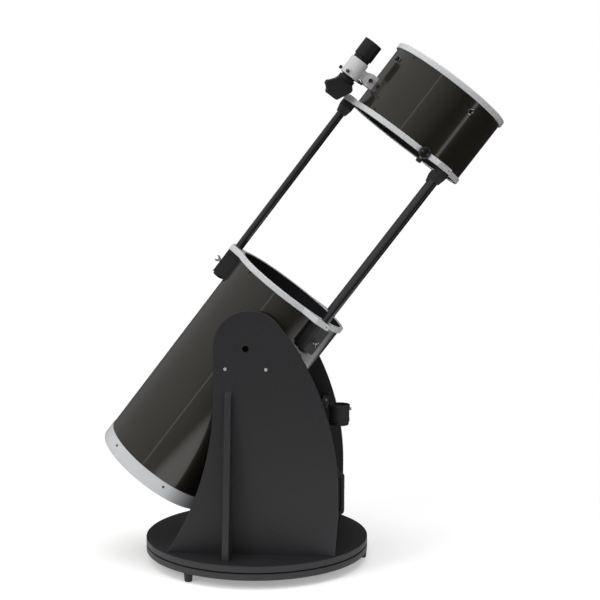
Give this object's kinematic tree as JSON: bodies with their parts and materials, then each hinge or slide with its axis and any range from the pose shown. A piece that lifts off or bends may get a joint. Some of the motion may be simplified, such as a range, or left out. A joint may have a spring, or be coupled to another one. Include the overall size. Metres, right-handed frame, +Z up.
{
  "type": "dobsonian telescope",
  "caption": "Collapsible-truss Newtonian telescope on a boxed turntable mount, with sliding struts, finder, focuser and mirror cell.",
  "frame": {"origin": "on the floor, under the azimuth bolt", "axes": "+Z up, +X the way the tube points, Y along the altitude axis"},
  "size_m": [1.1398, 0.645, 1.484],
  "materials": {
    "laminate": "matt charcoal melamine on chipboard",
    "rubber": "moulded rubber",
    "nylon": "natural nylon",
    "zinc_steel": "zinc plated",
    "black_plastic": "fine-grained moulding",
    "tube_enamel": "gloss black enamel",
    "ring_enamel": "light grey enamel",
    "strut_enamel": "gloss black enamel",
    "cast_alloy": "cast, satin",
    "mirror_coating": "aluminised glass",
    "clip_steel": "pressed steel",
    "bright_chrome": "bright",
    "black_anodised": "black anodised",
    "chrome_tube": "bright drawn",
    "finder_white": "white enamel",
    "lens_glass": "coated lens"
  },
  "bodies": {
    "ground": {"ground_board": "laminate", "feet": "rubber", "azimuth_pads": "nylon", "azimuth_bolt": "zinc_steel", "azimuth_nut": "zinc_steel"},
    "rocker": {"turntable_board": "laminate", "azimuth_bush": "nylon", "side_board_right": "laminate", "side_board_left": "laminate", "front_board": "laminate", "gussets": "laminate", "altitude_pads": "nylon", "carry_handle": "black_plastic", "cup_bracket": "black_plastic", "eyepiece_cup": "black_plastic", "panel_screws": "zinc_steel"},
    "cup_thumbscrew": {"cup_thumbscrew": "bright_chrome"},
    "tube": {"main_tube": "tube_enamel", "rear_ring": "ring_enamel", "main_ring": "ring_enamel", "mirror_carrier": "cast_alloy", "primary_mirror": "mirror_coating", "mirror_clips": "clip_steel", "collimation_springs": "zinc_steel", "strut_clamps": "black_plastic", "trunnions": "cast_alloy"},
    "tension_handle": {"tension_handle": "black_plastic"},
    "strut_lock_top": {"strut_lock_top": "bright_chrome"},
    "strut_lock_right": {"strut_lock_right": "bright_chrome"},
    "strut_lock_left": {"strut_lock_left": "bright_chrome"},
    "collimation_knob_1": {"collimation_knob_1": "black_plastic"},
    "collimation_knob_2": {"collimation_knob_2": "black_plastic"},
    "collimation_knob_3": {"collimation_knob_3": "black_plastic"},
    "cage": {"cage_tube": "tube_enamel", "cage_ring_lower": "ring_enamel", "cage_ring_upper": "ring_enamel", "struts": "strut_enamel", "strut_sockets": "black_plastic", "spider_hub": "black_anodised", "spider_vanes": "black_anodised", "vane_screws": "bright_chrome", "secondary_mirror": "mirror_coating", "secondary_holder": "black_anodised", "focuser_base": "black_anodised", "finder_shoe": "finder_white", "finder_bracket": "finder_white", "finder_tube": "black_anodised", "dew_shield": "black_anodised", "finder_lens": "lens_glass", "prism_housing": "black_plastic", "latch_housing": "black_plastic"},
    "focuser": {"focuser_drawtube": "chrome_tube", "eyepiece_holder": "black_anodised"},
    "focus_knobs": {"focus_knobs": "black_anodised"},
    "holder_screw": {"holder_screw": "bright_chrome"},
    "finder_clamp_screw": {"finder_clamp_screw": "black_plastic"},
    "alignment_screw_near": {"alignment_screw_near": "black_plastic"},
    "alignment_screw_far": {"alignment_screw_far": "black_plastic"},
    "finder_eyepiece": {"finder_eyepiece": "black_plastic"},
    "latch_pin": {"latch_pin": "bright_chrome"}
  },
  "joints": [
    {"name": "azimuth", "type": "hinge", "parent": "ground", "child": "rocker", "pos_m": [0, 0, 0], "axis": [0, 0, 1], "continuous": true},
    {"name": "altitude", "type": "hinge", "parent": "rocker", "child": "tube", "pos_m": [-0.008, 0, 0.632], "axis": [0, -1, 0], "range_deg": [-52.6, 37.4]},
    {"name": "truss_collapse", "type": "slide", "parent": "tube", "child": "cage", "axis": [-0.6074, 0, -0.7944], "range_m": [0, 0.465]},
    {"name": "tension_turn", "type": "hinge", "parent": "tube", "child": "tension_handle", "pos_m": [-0.008, 0.215, 0.632], "axis": [0, 1, 0], "range_deg": [-180, 180]},
    {"name": "strut_lock_top_turn", "type": "hinge", "parent": "tube", "child": "strut_lock_top", "pos_m": [-0.10449, 0, 0.8606], "axis": [-0.7944, 0, 0.6074], "range_deg": [-180, 180]},
    {"name": "strut_lock_right_turn", "type": "hinge", "parent": "tube", "child": "strut_lock_right", "pos_m": [0.17652, -0.16532, 0.64575], "axis": [0.5096, -0.7672, -0.3896], "range_deg": [-180, 180]},
    {"name": "strut_lock_left_turn", "type": "hinge", "parent": "tube", "child": "strut_lock_left", "pos_m": [0.17652, 0.16532, 0.64575], "axis": [0.5096, 0.7672, -0.3896], "range_deg": [-180, 180]},
    {"name": "collimation_1_turn", "type": "hinge", "parent": "tube", "child": "collimation_knob_1", "pos_m": [-0.2109, 0, 0.17234], "axis": [0.6074, 0, 0.7944], "range_deg": [-180, 180]},
    {"name": "collimation_2_turn", "type": "hinge", "parent": "tube", "child": "collimation_knob_2", "pos_m": [-0.35151, -0.10219, 0.27984], "axis": [0.6074, 0, 0.7944], "range_deg": [-180, 180]},
    {"name": "collimation_3_turn", "type": "hinge", "parent": "tube", "child": "collimation_knob_3", "pos_m": [-0.35151, 0.10219, 0.27984], "axis": [0.6074, 0, 0.7944], "range_deg": [-180, 180]},
    {"name": "cup_thumbscrew_turn", "type": "hinge", "parent": "rocker", "child": "cup_thumbscrew", "pos_m": [0.273, -0.11, 0.454], "axis": [1, 0, 0], "range_deg": [-180, 180]},
    {"name": "focus_travel", "type": "slide", "parent": "cage", "child": "focuser", "axis": [-0.3972, 0.866, 0.3037], "range_m": [0, 0.035]},
    {"name": "focus_knob_turn", "type": "hinge", "parent": "cage", "child": "focus_knobs", "pos_m": [0.36916, 0.18013, 1.29654], "axis": [-0.688, -0.5, 0.526], "range_deg": [0, 668.5]},
    {"name": "holder_screw_turn", "type": "hinge", "parent": "focuser", "child": "holder_screw", "pos_m": [0.38626, 0.23556, 1.37158], "axis": [0.6074, 0, 0.7944], "range_deg": [-180, 180]},
    {"name": "finder_clamp_turn", "type": "hinge", "parent": "cage", "child": "finder_clamp_screw", "pos_m": [0.32282, -0.06953, 1.3647], "axis": [0.2056, -0.9659, -0.1572], "range_deg": [-180, 180]},
    {"name": "align_near_turn", "type": "hinge", "parent": "cage", "child": "alignment_screw_near", "pos_m": [0.26251, -0.0929, 1.38815], "axis": [-0.1787, -0.9744, 0.1366], "range_deg": [-180, 180]},
    {"name": "align_far_turn", "type": "hinge", "parent": "cage", "child": "alignment_screw_far", "pos_m": [0.24465, -0.05692, 1.4018], "axis": [-0.7741, 0.225, 0.5918], "range_deg": [-180, 180]},
    {"name": "finder_focus_turn", "type": "hinge", "parent": "cage", "child": "finder_eyepiece", "pos_m": [0.23872, -0.06367, 1.34592], "axis": [-0.2056, 0.9659, 0.1572], "range_deg": [-180, 180]},
    {"name": "latch_pull", "type": "slide", "parent": "cage", "child": "latch_pin", "axis": [-0.6074, 0, -0.7944], "range_m": [0, 0.008]}
  ],
  "couplings": [
    {"joint": "focus_knob_turn", "follows": "focus_travel", "rad_per_m": 333.33}
  ]
}
